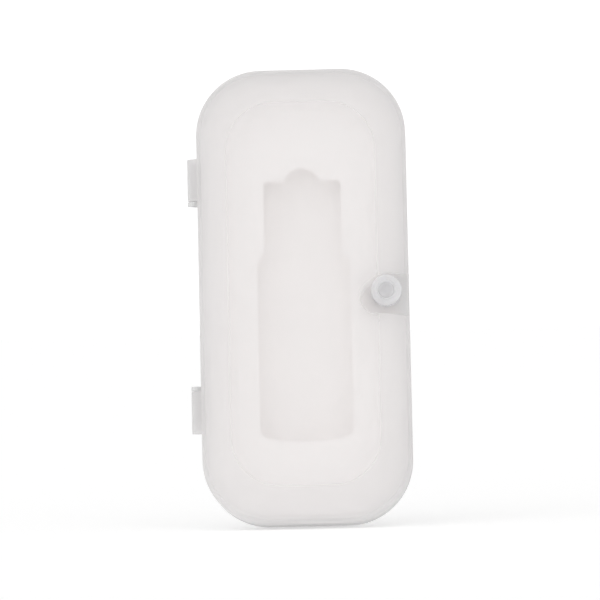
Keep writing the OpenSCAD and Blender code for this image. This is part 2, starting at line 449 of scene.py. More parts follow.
@dataclass(frozen=True)
class Well:
    """The well that holds the button, open to the case's right side.

    Its outline is a circle rolled from a low point inside up to the button's axis, and from
    both of them straight out over the side.
    """

    low: tuple[float, float]
    high: tuple[float, float]
    radius: float
    floor: float
    edge: float = 0.4
    root: float = 0.3
    draft: float = 0.14

    def distance(self, p: Array) -> Array:
        """Signed distance from the well's mouth in the plane.

        It is the least distance to the line between the two points and to the two lines that
        run from them over the side, or zero in the room between those lines, less the radius.

        Args:
            p: Points, one row each.

        Returns:
            One distance for each point, negative inside.
        """
        low, high = np.array(self.low), np.array(self.high)
        chord = high - low
        along = np.clip((p - low) @ chord / (chord @ chord), 0, 1)
        to_chord = np.linalg.norm(p - low - along[:, None] * chord, axis=1)
        rays = [np.hypot(np.minimum(p[:, 0] - end[0], 0), p[:, 1] - end[1]) for end in (low, high)]
        right = (p - low) @ np.array([chord[1], -chord[0]]) > 0
        core = right & (p[:, 1] > low[1]) & (p[:, 1] < high[1])
        return np.where(core, 0, np.minimum(to_chord, np.minimum(*rays))) - self.radius

    def sink(self, p: Array, dome: Array) -> Array:
        """Sinks a dome's height into the well, with a rounded edge and a rounded root.

        Outside the mouth the surface turns down by a quarter circle, then falls almost
        straight with a little draft, and meets the floor in another quarter circle. Both
        circles shrink where the dome comes down to the floor.

        Args:
            p: Points in the plane.
            dome: The dome's height over them.

        Returns:
            The height with the well in it.
        """
        d = self.distance(p)
        share = np.clip((dome - self.floor) / (self.edge + self.root), 0, 1)
        over = np.clip(self.edge - d, 0, self.edge)
        drop = self.edge - np.sqrt(self.edge**2 - over**2)
        turned = dome - drop * share
        down = np.clip(-d / self.draft, 0, 1)
        wall = (dome - self.edge * share) * (1 - down) + (self.floor + self.root * share) * down
        into = np.clip(-d - self.draft, 0, self.root)
        root = self.root - np.sqrt(self.root**2 - (self.root - into) ** 2)
        bottom = self.floor + root * share
        inside = np.where(-d > self.draft, bottom, wall)
        return np.minimum(dome, np.where(d >= 0, turned, inside))

    def rows(self, insets: Array, edge_x: float) -> list[Array]:
        """Curves parallel to the mouth, spaced as the edge and the root need them.

        Args:
            insets: Distances from the right side at which the straight stretches have points.
            edge_x: Where the right side is.

        Returns:
            The points of each curve, in order round the well.
        """
        turn = np.radians(np.linspace(0, 90, 6))
        offsets = np.concatenate([
            [0.95, 0.65],
            self.edge * (1 - np.sin(turn)),
            -self.draft * np.array([0.34, 0.67]),
            -self.draft - self.root + self.root * np.cos(turn),
            [-self.draft - self.root - 0.3],
        ])
        xs = np.sort(edge_x - insets)[::-1]
        (low_x, low_y), (high_x, high_y) = self.low, self.high
        across = 90 + math.degrees(math.atan2(high_y - low_y, high_x - low_x))
        under, over = xs[xs > low_x + 0.1], xs[xs > high_x + 0.1][::-1]
        slant = np.linspace(0, 1, 7)[1:-1, None]
        rows = []
        for r in self.radius + offsets:
            below = np.stack([under, np.full_like(under, low_y - r)], axis=1)
            above = np.stack([over, np.full_like(over, high_y + r)], axis=1)
            first = arc(self.low, r, 270, across, 48)
            last = arc(self.high, r, across, 90, 16)
            between = first[-1] + slant * (last[0] - first[-1])
            rows.append(np.concatenate([below, first, between, last, above]))
        return rows


def lid_face(dome: Dome, well: Well) -> tuple[Array, Array, Array]:
    """One face of the lid as triangles over the plane, lifted to its height.

    The plane's points are the dome's rings, a few more on the panel, a row down its middle,
    and the well's parallel curves. Rings leave room where those curves are closer together.

    Args:
        dome: The face without its well.
        well: The well that is sunk into it.

    Returns:
        The points, the triangles and the face's outer ring.
    """
    room_outside, room_inside = 1.2, 0.5
    panel_shares = (1.35, 1.65, 1.95)
    spine_half, spine_points = 30.0, 31
    shares, _ = dome.profile()
    boundary = dome.ring(0)
    lines = [(boundary, np.ones(len(boundary), bool), True)]
    for share in [*shares[1:], *panel_shares]:
        ring = dome.ring(share)
        d = well.distance(ring)
        lines.append((ring, (d > room_outside) | (d < -well.draft - well.root - room_inside), True))
    edge_x = dome.outline.half_w - dome.inset
    for row in well.rows(shares[1:] * dome.shoulder_w, edge_x):
        lines.append((row, np.ones(len(row), bool), False))
    points, edges, first = [], [], 0
    for line, keep, closed in lines:
        index = first + np.cumsum(keep) - 1
        a = np.arange(len(line) if closed else len(line) - 1)
        b = (a + 1) % len(line)
        both = keep[a] & keep[b]
        edges.append(np.stack([index[a][both], index[b][both]], axis=1))
        points.append(line[keep])
        first += int(keep.sum())
    spine = np.stack([np.zeros(spine_points), np.linspace(-spine_half, spine_half, spine_points)], axis=1)
    flat = np.concatenate([*points, spine])
    loop = list(range(len(boundary)))
    held = np.concatenate(edges[1:]).tolist()
    made = delaunay_2d_cdt([Vector(q) for q in flat], held, [loop], 1, 1e-6)
    plane = np.array([tuple(v) for v in made[0]])
    triangles = np.array([f for f in made[2] if len(f) == 3])
    lifted = np.column_stack([plane, well.sink(plane, dome.level(plane))])
    rim = np.column_stack([boundary, well.sink(boundary, np.full(len(boundary), dome.band))])
    lifted[: len(rim)] = rim
    return lifted, triangles, rim


# --- hinges, as both shells have a half of them ---------------------------------------------


@dataclass(frozen=True)
class Hinges:
    """Sizes of the two hinges. Each has a barrel on the lid and a lug on the base."""

    space: CaseSpace
    offset: float = 25.1
    rise: float = 0.6
    length: float = 10.3
    barrel_radius: float = 1.45
    lug: float = 0.9
    gap: float = 0.2
    clear: float = 0.25
    pin_radius: float = 0.6
    pin_clear: float = 0.05
    press: float = 0.01
    pin_length: float = 8.0
    lean: float = 125.0
    soft: float = 0.12
    lug_soft: float = 0.1
    crisp: float = 0.02

    def sides(self) -> tuple[int, int]:
        """+1 for the upper hinge, whose lug is below its barrel, and -1 for the lower one."""
        return 1, -1

    def reach(self, wall: float) -> float:
        """How far a strap runs past the axis, which is nine tenths through the lid's wall."""
        return -self.space.axis_x - self.space.half_w + 0.9 * wall

    def bar(self, section: Array, start: float, end: float, side: int, round_by: float) -> Patchwork:
        """A bar along a hinge with this section, its two ends slightly rounded.

        Args:
            section: Closed outline about the axis, x across and y forwards.
            start: Where it starts, from the hinge's middle towards its lug.
            end: Where it ends.
            side: Which hinge.
            round_by: Radius of the rounding at its ends.

        Returns:
            The bar, ready to build.
        """
        turn = np.radians(np.linspace(0, 90, 4))
        shrink = round_by * (1 - np.cos(turn[::-1]))
        reach = round_by * (1 - np.sin(turn[::-1]))
        places = np.concatenate([start + reach, (end - reach)[::-1]])
        insets = np.concatenate([shrink, shrink[::-1]])
        middle = section.mean(axis=0)
        size = np.abs(section - middle).max()
        rows = []
        for place, inset in zip(places, insets):
            flat = middle + (section - middle) * (1 - inset / size)
            along = np.full(len(flat), self.rise + side * (self.offset - place))
            rows.append(np.stack([self.space.axis_x + flat[:, 0], along, flat[:, 1]], axis=1))
        return solid(np.stack(rows))

    def round_section(self, radius: float, steps: int = 64) -> Array:
        """A full circle about the axis."""
        return arc((0, 0), radius, 0, 360, steps)[:-1]

    def strap_section(self, level: float, reach: float) -> Array:
        """A barrel with the strap that runs from it, straight off its circle, into a shell.

        Args:
            level: Where the strap's underside lies.
            reach: How far the strap runs past the axis.

        Returns:
            The closed outline.
        """
        r = self.barrel_radius
        low = math.degrees(math.asin(level / r))
        root = np.array([math.cos(math.radians(self.lean)), math.sin(math.radians(self.lean))]) * r
        slope = 1 / math.tan(math.radians(180 - self.lean))
        over = np.linspace(0, 1, 8)[:, None]
        tip = np.array([reach, root[1] + (reach - root[0]) * slope])
        strap = root + over * (tip - root)
        circle = arc((0, 0), r, low, self.lean - 360, 48)
        foot = np.array([[reach, level]])
        return np.concatenate([circle[:-1], strap, foot])


@dataclass
class ShellSizes:
    """Walls that the shells and the foam share, in millimetres."""

    lid_wall: float = 1.0
    panel: float = 1.2
    band: float = 2.4
    rim_gap: float = 0.1
    rim_soft: float = 0.12
    base_wall: float = 1.8
    base_floor: float = 1.4
    rear_radius: float = 3.0
    lip: float = 1.2
    lip_gap: float = 0.15
    well_radius: float = 3.6
    well_inset: float = 7.0
    well_drop: float = 1.3
    well_floor: float = 3.0
    well_wall: float = 1.0
    button_inset: float = 4.9
    button_rise: float = 0.3
    boss_radius: float = 3.2
    boss_gap: float = 0.4
    socket_radius: float = 1.75
    shank: float = 5.0

    def button_axis(self, half_w: float) -> tuple[float, float]:
        """Where the button's axis meets the plane of a case with this half width."""
        return half_w - self.button_inset, self.button_rise


def revolve(profile: Array, centre: tuple[float, float], level: float, steps: int = 96) -> Patchwork:
    """A profile of (radius, level) turned about an axis that points forwards.

    Args:
        profile: Starts and ends on the axis.
        centre: Where the axis is.
        level: Added to every level.
        steps: Points on each circle.

    Returns:
        The closed solid, ready to build.
    """
    a = np.linspace(0, 2 * np.pi, steps, endpoint=False)
    r, z = profile[1:-1, 0:1], profile[1:-1, 1:2] + level
    rows = np.stack(
        [centre[0] + r * np.cos(a), centre[1] + r * np.sin(a), np.broadcast_to(z, (len(z), steps))], axis=2
    )
    return solid(rows)


@dataclass
class LidShell:
    """The front cover, with its well and its two hinge barrels."""

    space: CaseSpace
    outline: Outline
    sizes: ShellSizes
    hinges: Hinges
    clearness: tuple[float, ...] = (0.21, 0.3, 0.45, 0.35, 0.72)
    well_clearness: float = 0.5

    def build(self) -> bpy.types.Object:
        """Makes the lid: two faces, the rim between them, then the barrels.

        Returns:
            The finished piece.
        """
        s, o = self.sizes, self.outline
        low = (o.half_w - s.well_inset, -s.well_drop)
        axis = s.button_axis(o.half_w)
        outer = Dome(o, 0, s.band, self.space.lid_depth, full_top=self.space.lid_depth)
        inner = Dome(o, s.lid_wall, s.band, self.space.lid_depth - s.panel, full_top=self.space.lid_depth)
        mouth = Well(low, axis, s.well_radius, s.well_floor)
        front = lid_face(outer, mouth)
        under = Well(low, axis, s.well_radius + s.well_wall, s.well_floor - s.well_wall)
        back = lid_face(inner, under)
        made = Patchwork()
        made.add_triangles(front[0], front[1])
        made.add_triangles(back[0], back[1], flip=True)
        soft = s.rim_soft
        rim = self.outline.stack([
            (0, 1.7), (0, 1.0), (0, s.rim_gap + soft), (0.3 * soft, s.rim_gap + 0.3 * soft),
            (soft, s.rim_gap), (s.lid_wall - soft, s.rim_gap),
            (s.lid_wall - 0.3 * soft, s.rim_gap + 0.3 * soft), (s.lid_wall, s.rim_gap + soft),
            (s.lid_wall, 1.0),
        ])
        made.add_grid(np.concatenate([front[2][None], rim, back[2][None]]))
        lid = made.build("lid", self.space.place)
        h = self.hinges
        reach = h.reach(s.lid_wall)
        strap = h.strap_section(s.rim_gap, reach)
        barrels, bores = [], []
        for side in h.sides():
            end = h.length / 2 - h.lug - h.gap
            barrel = h.bar(strap, -h.length / 2, end, side, h.soft)
            barrels.append(barrel.build("barrel", self.space.place))
            bore = h.round_section(h.pin_radius + h.pin_clear, 40)
            slot = np.array([[-3, 0], [reach + 0.1, 0], [reach + 0.1, 1], [-3, 1]], float)
            slot[:, 1] *= h.barrel_radius + h.clear
            for name, section, start, stop in (("bore", bore, end - h.pin_length - h.gap, end + 0.5),
                                               ("relief", slot, end, end + h.lug + 2 * h.gap)):
                bores.append(h.bar(section, start, stop, side, h.crisp).build(name, self.space.place))
        carve(lid, barrels, "UNION")
        carve(lid, bores, "DIFFERENCE")
        smooth(lid)
        self.mark_clearness(lid, outer, mouth)
        return lid

    def mark_clearness(self, lid: bpy.types.Object, dome: Dome, well: Well) -> None:
        """Stores how clear the plastic looks at each point.

        The rim, the barrels and the well are thick or seen at a slant, so they are milky. The
        shoulder clears up towards the flat panel, which is the clearest.

        Args:
            lid: The finished mesh.
            dome: The lid's front face, whose share says where a point is.
            well: The well in that face.
        """
        mesh = lid.data
        points = np.empty(len(mesh.vertices) * 3, np.float32)
        mesh.vertices.foreach_get("co", points)
        plane = self.space.flat(points.reshape(-1, 3))
        step = dome.step_run / dome.shoulder_w
        clear = np.interp(dome.share(plane), [0.0, 0.2, 1.0, 1 + step / 2, 1 + step], self.clearness)
        in_well = np.clip(1 - well.distance(plane) / well.edge, 0, 1)
        clear += (self.well_clearness - clear) * in_well
        store = mesh.attributes.new(CLEARNESS, "FLOAT", "POINT")
        store.data.foreach_set("value", clear.astype(np.float32))


@dataclass
class BaseShell:
    """The rear tray, with its lip, its socket boss and the two hinge lugs."""

    space: CaseSpace
    outline: Outline
    sizes: ShellSizes
    hinges: Hinges

    def profile(self) -> list[tuple[float, float]]:
        """The tray's section from the rear panel, over the rim and the lip, to its floor.

        Returns:
            Pairs of inset and level.
        """
        s, depth = self.sizes, self.space.base_depth
        r = s.rear_radius
        lip_out = s.lid_wall + s.lip_gap
        floor = s.base_floor - depth
        edge = [
            (r - r * math.sin(a), -depth + r - r * math.cos(a))
            for a in np.radians(np.linspace(0, 90, 13))
        ]
        root, edge_run, edge_mid, lip_run, lip_mid = 0.5, 0.14, 0.04, 0.16, 0.05
        panel_insets = (12.0, 9.0, 6.0, 4.0)
        corner = [
            (s.base_wall + root - root * math.cos(a), floor + root - root * math.sin(a))
            for a in np.radians(np.linspace(0, 90, 6))
        ]
        lip_in, top, crisp = s.base_wall, s.lip, self.hinges.crisp
        return [
            *((inset, -depth) for inset in panel_insets), *edge,
            *((0, level) for level in (-depth * 0.5, -depth * 0.25, -1.0, -edge_run)),
            (edge_mid, -edge_mid), (edge_run, 0), (lip_out - crisp, 0), (lip_out, crisp),
            (lip_out, top - lip_run), (lip_out + lip_mid, top - lip_mid), (lip_out + lip_run, top),
            (lip_in - lip_run, top), (lip_in - lip_mid, top - lip_mid), (lip_in, top - lip_run),
            (lip_in, -2.0), (lip_in, -6.0), *corner,
            *((inset, floor) for inset in reversed(panel_insets)),
        ]

    def boss(self) -> Patchwork:
        """The boss with the button's socket down its middle.

        Returns:
            The boss, ready to build.
        """
        s = self.sizes
        top = s.well_floor - s.well_wall - s.boss_gap
        bottom = s.base_floor / 2 - self.space.base_depth
        end = s.well_floor - s.shank - 1
        r, c = s.boss_radius, s.socket_radius
        profile = np.array([
            (0, bottom), (r, bottom), (r, top - 0.25), (r - 0.07, top - 0.07), (r - 0.25, top),
            (c + 0.3, top), (c + 0.08, top - 0.08), (c, top - 0.3), (c, end + 0.2), (c - 0.2, end), (0, end),
        ])
        return revolve(profile, s.button_axis(self.outline.half_w), 0)

    def build(self) -> bpy.types.Object:
        """Makes the tray, then adds its boss and lugs and cuts the room for the barrels.

        Returns:
            The finished piece.
        """
        s, h = self.sizes, self.hinges
        base = solid(self.outline.stack(self.profile())).build("base", self.space.place)
        section = h.strap_section(h.crisp, h.reach(s.lid_wall)) * np.array([1, -1])
        added = [self.boss().build("boss", self.space.place)]
        cut = []
        for side in h.sides():
            start = h.length / 2 - h.lug
            lug = h.bar(section, start, h.length / 2, side, h.lug_soft)
            added.append(lug.build("lug", self.space.place))
            hole = h.round_section(h.pin_radius - h.press, 40)
            room = h.round_section(h.barrel_radius + h.clear)
            for name, shape, low, high in (("hole", hole, start - 1, h.length / 2 + 1),
                                           ("room", room, -h.length / 2 - h.gap, start)):
                cut.append(h.bar(shape, low, high, side, h.crisp).build(name, self.space.place))
        carve(base, added, "UNION")
        carve(base, cut, "DIFFERENCE")
        smooth(base)
        return base


@dataclass
class Foam:
    """The die-cut insert with its pocket, and the plain sheet under it."""

    space: CaseSpace
    outline: Outline
    sizes: ShellSizes
    gap: float = 0.3
    air: float = 0.03
    backing: float = 5.0
    rise: float = 0.9
    soft: float = 0.3
    sheet_soft: float = 0.1
    pocket_foot: float = 18.8
    wide: float = 20.4
    wide_len: float = 38.6
    neck: float = 17.0
    neck_len: float = 15.6
    flare: float = 2.6
    notch: float = 3.9
    corner: float = 2.4
    top_corner: float = 0.8
    fillet: float = 0.35
    bow: float = 0.6

    def pocket(self) -> Array:
        """The pocket's outline, a memory stick's with a finger notch, about the case's middle.

        The right half runs from the middle of the lower edge to the top of the notch: a
        bowed edge, a corner arc, the wide side, a half cosine wave in to the neck, a corner
        arc, a small fillet and the notch's own arc. The left half is its mirror image.

        Returns:
            The closed outline, anticlockwise.
        """
        w, n, c, tc, f = self.wide / 2, self.neck / 2, self.corner, self.top_corner, self.fillet
        top = self.wide_len + self.flare + self.neck_len
        notch_y = top - self.notch / 4
        x = np.linspace(0, w - c, 20)
        lower = np.stack([x, -self.bow * (1 - (x / (w - c)) ** 2)], axis=1)
        t = np.linspace(0, 1, 16)
        wave = np.stack([w + (n - w) * (1 - np.cos(np.pi * t)) / 2, self.wide_len + self.flare * t], axis=1)
        fillet_x = math.sqrt((self.notch + f) ** 2 - (top + f - notch_y) ** 2)
        tilt = math.degrees(math.atan2(top + f - notch_y, fillet_x))
        side = np.stack([np.full(70, w), np.linspace(c, self.wide_len, 71)[1:]], axis=1)
        heights = np.linspace(self.wide_len + self.flare, top - tc, 42)[1:-1]
        neck = np.stack([np.full_like(heights, n), heights], axis=1)
        half = np.concatenate([
            lower[:-1],
            arc((w - c, c), c, -90, 0, 20),
            side[:-1],
            wave,
            neck,
            arc((n - tc, top - tc), tc, 0, 90, 12),
            arc((fillet_x, top + f), f, -90, -180 + tilt, 8),
            arc((0, notch_y), self.notch, tilt, 90, 20)[1:],
        ])
        left = half[-2:0:-1] * np.array([-1, 1])
        whole = np.concatenate([half, left])
        return whole + np.array([0, self.pocket_foot - self.space.half_h])

    def outer(self, inner: Array) -> Array:
        """The foam's outer edge, met by rays from the pocket's middle through each of its points.

        Args:
            inner: The pocket's outline.

        Returns:
            As many points on the outer edge.
        """
        inset = self.sizes.base_wall + self.gap
        w, h, r = self.outline.half_w - inset, self.outline.half_h - inset, self.outline.radius - inset
        heart = (inner.max(axis=0) + inner.min(axis=0)) / 2
        ray = inner - heart

        def past(scale: Array) -> Array:
            """Whether each ray, drawn out by its scale, is past the edge."""
            return rounded_distance(heart + ray * scale[:, None], w, h, r) > 0

        scale = bisect(past, np.ones(len(ray)), np.full(len(ray), 12.0))
        return heart + ray * scale[:, None]

    def clear_boss(self, made: Patchwork, name: str, low: float, high: float) -> bpy.types.Object:
        """Builds a foam piece and cuts the socket boss's room out of it, open to the case's side.

        Args:
            made: The uncut piece.
            name: Its name.
            low: Its lower level.
            high: Its upper level.

        Returns:
            The finished piece.
        """
        r = self.sizes.boss_radius + self.gap
        x, y = self.sizes.button_axis(self.outline.half_w)
        side = self.outline.half_w + 2
        shape = np.concatenate([arc((x, y), r, 90, 270, 40), [[side, y - r], [side, y + r]]])
        rows = np.stack([np.column_stack([shape, np.full(len(shape), z)]) for z in (low - 1, high + 1)])
        piece = made.build(name, self.space.place)
        carve(piece, [solid(rows).build("boss_room", self.space.place)], "DIFFERENCE")
        smooth(piece)
        return piece

    def levels(self) -> tuple[float, float, float]:
        """Where the backing starts, where the insert starts and where it ends."""
        floor = self.sizes.base_floor - self.space.base_depth
        return floor + self.air, floor + self.backing, self.rise

    def build_insert(self) -> bpy.types.Object:
        """Makes the insert as one closed band of rings, from the pocket's wall out and back.

        Returns:
            The finished piece.
        """
        _, low, high = self.levels()
        inner = self.pocket()
        outer = self.outer(inner)
        span = outer - inner
        length = np.linalg.norm(span, axis=1)[:, None]
        unit = span / length
        soft = self.soft
        turn = np.radians(np.linspace(0, 90, 6))
        edge = list(zip(soft * (1 - np.cos(turn)), high - soft + soft * np.sin(turn)))
        rows = [
            *((inner, z) for z in np.linspace(low, high - soft, 12)),
            *((inner + unit * run, z) for run, z in edge[1:]),
            *((inner + unit * (soft + t * (length - 2 * soft)), high) for t in np.linspace(0, 1, 14)[1:-1]),
            *((outer - unit * run, z) for run, z in reversed(edge)),
            *((outer, z) for z in np.linspace(high - soft, low, 8)[1:]),
            (inner, low),
        ]
        made = Patchwork()
        made.add_grid(np.stack([np.column_stack([p, np.full(len(p), z)]) for p, z in rows]))
        return self.clear_boss(made, "foam_layer", low, high)

    def build_backing(self) -> bpy.types.Object:
        """Makes the plain sheet, with slightly rounded edges.

        Returns:
            The finished piece.
        """
        low, high, _ = self.levels()
        inset, soft = self.sizes.base_wall + self.gap, self.sheet_soft
        profile = [
            (12.0, low), (8.0, low), (inset + soft, low), (inset, low + soft), (inset, high - soft),
            (inset + soft, high), *((i, high) for i in (4.0, 6.0, 8.0, 10.0, 12.0)),
        ]
        return self.clear_boss(solid(self.outline.stack(profile)), "foam_sheet", low, high)


@dataclass
class SnapButton:
    """The round hollow button in the lid's well, with its neck and shank."""

    space: CaseSpace
    outline: Outline
    sizes: ShellSizes
    radius: float = 3.35
    height: float = 5.2
    crown: float = 0.6
    hollow: float = 1.75
    hollow_depth: float = 2.6
    bowl: float = 1.5
    draft: float = 0.1
    bead: float = 0.16
    bead_gap: float = 0.42
    neck: float = 2.01
    shank_radius: float = 1.5

    def build(self) -> bpy.types.Object:
        """Turns the button's section, from the tip of the shank to the hollow's floor.

        Returns:
            The finished piece.
        """
        s, r, top, c = self.sizes, self.radius, self.height, self.crown
        turn = np.radians(np.linspace(0, 90, 9))
        crown = [(r - c + c * math.cos(a), top - c + c * math.sin(a)) for a in turn]
        ring, bead = self.hollow + self.bead_gap - self.bead, self.bead
        lip = [
            (ring + bead * math.cos(a), top + bead * math.sin(a))
            for a in np.radians(np.linspace(0, 180, 7))
        ]
        floor, bowl = top - self.hollow_depth, self.bowl
        middle = self.hollow - self.draft - bowl
        root = [(middle + bowl * math.cos(a), floor + bowl - bowl * math.sin(a)) for a in turn]
        shank = self.shank_radius
        profile = np.array([
            (0, -s.shank), (shank - 0.35, -s.shank), (shank - 0.1, -s.shank + 0.12),
            (shank, -s.shank + 0.4), (shank, -s.well_wall), (self.neck, -s.well_wall),
            (self.neck, 0.0), (r - 0.12, 0.0), (r - 0.03, 0.03), (r, 0.12), *crown, *lip,
            (self.hollow, top - 0.12), *root, (0, floor),
        ])
        centre = s.button_axis(self.outline.half_w)
        button = revolve(profile, centre, s.well_floor, 128).build("button", self.space.place)
        smooth(button, 50)
        return button


@dataclass
class HingePins:
    """The two plain pins."""

    hinges: Hinges

    def build(self) -> list[bpy.types.Object]:
        """Makes the upper and the lower pin.

        Returns:
            Both pieces.
        """
        h = self.hinges
        pins = []
        for side, name in zip(h.sides(), ("pin_upper", "pin_lower")):
            section = h.round_section(h.pin_radius, 48)
            start = h.length / 2 - h.lug - h.gap - h.pin_length
            pin = h.bar(section, start, h.length / 2, side, h.soft).build(name, h.space.place)
            smooth(pin)
            pins.append(pin)
        return pins


# --- materials ------------------------------------------------------------------------------


def linear(hex_colour: str) -> tuple[float, float, float, float]:
    """An sRGB hex colour as linear RGBA.

    Args:
        hex_colour: A hash and six digits.

    Returns:
        Red, green, blue and full alpha.
    """
    values = [int(hex_colour[i : i + 2], 16) / 255 for i in (1, 3, 5)]
    r, g, b = [v / 12.92 if v <= 0.04045 else ((v + 0.055) / 1.055) ** 2.4 for v in values]
    return r, g, b, 1.0


def add_node(
    tree: bpy.types.NodeTree, kind: str, links: dict[str | int, object] | None = None, **settings: object
) -> bpy.types.Node:
    """Adds a node with its settings and links.

    Args:
        tree: The node tree.
        kind: The node's type.
        links: Input name or number to the output that feeds it, or to a plain value.
        settings: Properties of the node.

    Returns:
        The new node.
    """
    node = tree.nodes.new(kind)
    for key, value in settings.items():
        setattr(node, key, value)
    for key, value in (links or {}).items():
        if isinstance(value, bpy.types.NodeSocket):
            tree.links.new(value, node.inputs[key])
        else:
            node.inputs[key].default_value = value
    return node


def per_mm(size: float) -> float:
    """Scale of a pattern on Object coordinates whose features are this many millimetres wide."""
    return 1 / (size * MM)


def empty_material(name: str) -> tuple[bpy.types.Material, bpy.types.NodeTree]:
    """A new material with no nodes yet.

    Args:
        name: Its name.

    Returns:
        The material and its node tree.
    """
    material = bpy.data.materials.new(name)
    material.use_nodes = True
    material.node_tree.nodes.clear()
    return material, material.node_tree


def pattern(
    tree: bpy.types.NodeTree, kind: str, size: float, detail: float = 0.0, **settings: object
) -> bpy.types.NodeSocket:
    """A pattern on Object coordinates.

    Args:
        tree: The node tree.
        kind: Noise or Voronoi.
        size: Width of its features, in millimetres.
        detail: Octaves of finer features over them.
        settings: The node's properties.

    Returns:
        The pattern's value.
    """
    place = add_node(tree, "ShaderNodeTexCoord").outputs["Object"]
    links = {"Vector": place, "Scale": per_mm(size), "Detail": detail}
    return add_node(tree, f"ShaderNodeTex{kind}", links, **settings).outputs[0]


def blend(
    tree: bpy.types.NodeTree, share: bpy.types.NodeSocket, one: str, other: str
) -> bpy.types.NodeSocket:
    """Mixes two hex colours by a pattern."""
    links = {0: share, 6: linear(one), 7: linear(other)}
    return add_node(tree, "ShaderNodeMix", links, data_type="RGBA").outputs[2]


def spread(
    tree: bpy.types.NodeTree, value: bpy.types.NodeSocket, low: float, high: float
) -> bpy.types.NodeSocket:
    """Stretches the middle of a pattern's range over low to high, without going past them."""
    links = {"Value": value, "From Min": 0.3, "From Max": 0.7, "To Min": low, "To Max": high}
    return add_node(tree, "ShaderNodeMapRange", links).outputs[0]


@dataclass(frozen=True)
class FrostedPlastic:
    """Injection-moulded polypropylene, milky and see-through, from a fine-etched mould.

    What shows behind it is veiled and not refracted: part of the light passes straight, part
    is scattered forwards and part is scattered back, and a satin skin lies over it.
    """

    name: str
    colour: str
    shade: str
    clear: float | str
    scatter: float
    roughness: float
    coat: float = 0.0
    flow: float = 22.0
    etch: float = 0.3
    etch_depth: float = 0.006

    def make(self) -> bpy.types.Material:
        """Builds the material.

        Returns:
            The material.
        """
        material, tree = empty_material(self.name)
        flow = pattern(tree, "Noise", self.flow, detail=3.0)
        etch = pattern(tree, "Noise", self.etch, detail=2.0)
        tint = blend(tree, flow, self.colour, self.shade)
        bump = add_node(tree, "ShaderNodeBump", {
            "Height": etch, "Strength": 0.5, "Distance": self.etch_depth * MM})
        rough = spread(tree, etch, self.roughness - 0.05, self.roughness + 0.07)
        skin = add_node(tree, "ShaderNodeBsdfPrincipled", {
            "Base Color": tint, "Roughness": rough, "IOR": 1.49, "Coat Weight": self.coat,
            "Coat Roughness": 0.12, "Normal": bump.outputs[0]})
        through = add_node(tree, "ShaderNodeBsdfTranslucent", {"Color": tint})
        mixed = {0: self.scatter, 1: skin.outputs[0], 2: through.outputs[0]}
        milky = add_node(tree, "ShaderNodeMixShader", mixed)
        straight = add_node(tree, "ShaderNodeBsdfTransparent", {"Color": WHITE})
        share: bpy.types.NodeSocket | float | str = self.clear
        if isinstance(share, str):
            share = add_node(tree, "ShaderNodeAttribute", attribute_name=share).outputs["Fac"]
        veil = add_node(tree, "ShaderNodeMixShader", {0: share, 1: milky.outputs[0], 2: straight.outputs[0]})
        add_node(tree, "ShaderNodeOutputMaterial", {"Surface": veil.outputs[0]})
        return material


@dataclass(frozen=True)
class CellFoam:
    """Closed-cell polyethylene foam, skived: matt white, with fine cells and a faint mottle."""

    name: str = "closed_cell_foam"
    colour: str = "#FEFBFA"
    shade: str = "#FAF7F6"
    cell: float = 0.45
    cell_depth: float = 0.08
    mottle: float = 3.0

    def make(self) -> bpy.types.Material:
        """Builds the material.

        Returns:
            The material.
        """
        material, tree = empty_material(self.name)
        cells = pattern(tree, "Voronoi", self.cell, feature="SMOOTH_F1")
        mottle = pattern(tree, "Noise", self.mottle, detail=4.0)
        tint = blend(tree, mottle, self.colour, self.shade)
        bump = add_node(tree, "ShaderNodeBump", {
            "Height": cells, "Strength": 0.35, "Distance": self.cell_depth * MM})
        body = add_node(tree, "ShaderNodeBsdfPrincipled", {
            "Base Color": tint, "Roughness": spread(tree, mottle, 0.86, 0.97),
            "Specular IOR Level": 0.25, "Normal": bump.outputs[0]})
        add_node(tree, "ShaderNodeOutputMaterial", {"Surface": body.outputs[0]})
        return material


class Finish(Enum):
    """The finishes of the object's pieces."""

    # Polypropylene moulded thin in an etched mould: milky, with the foam's outline soft behind it,
    # and no sharp reflection anywhere
    LID = FrostedPlastic("frosted_polypropylene_lid", "#F9F8F8", "#F4F3F3", CLEARNESS, 0.6, 0.42)
    # The same plastic in a thicker wall: whiter, and only a quarter of the light comes straight
    BASE = FrostedPlastic("frosted_polypropylene_base", "#F8F8F8", "#F3F3F3", 0.25, 0.6, 0.42)
    # Unetched polypropylene from a polished mould: cooler and glossier than the lid round it
    BUTTON = FrostedPlastic("clear_polypropylene_plug", "#FEFEFF", "#FCFCFE", 0.5, 0.3, 0.18, coat=0.6)
    # Polyethylene foam, skived and die-cut: flat white with fine open cells and no shine
    FOAM = CellFoam()


def dress(
    piece: bpy.types.Object, finish: bpy.types.Material, body: str, nodes: Sequence[str]
) -> None:
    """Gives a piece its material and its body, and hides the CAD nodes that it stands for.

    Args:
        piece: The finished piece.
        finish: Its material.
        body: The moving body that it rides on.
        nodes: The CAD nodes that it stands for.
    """
    piece.data.materials.clear()
    piece.data.materials.append(finish)
    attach(piece, body)
    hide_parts(*nodes)
    LOG.info("%s: %d faces, on %s", piece.name, len(piece.data.polygons), body)


# --- stage ----------------------------------------------------------------------------------


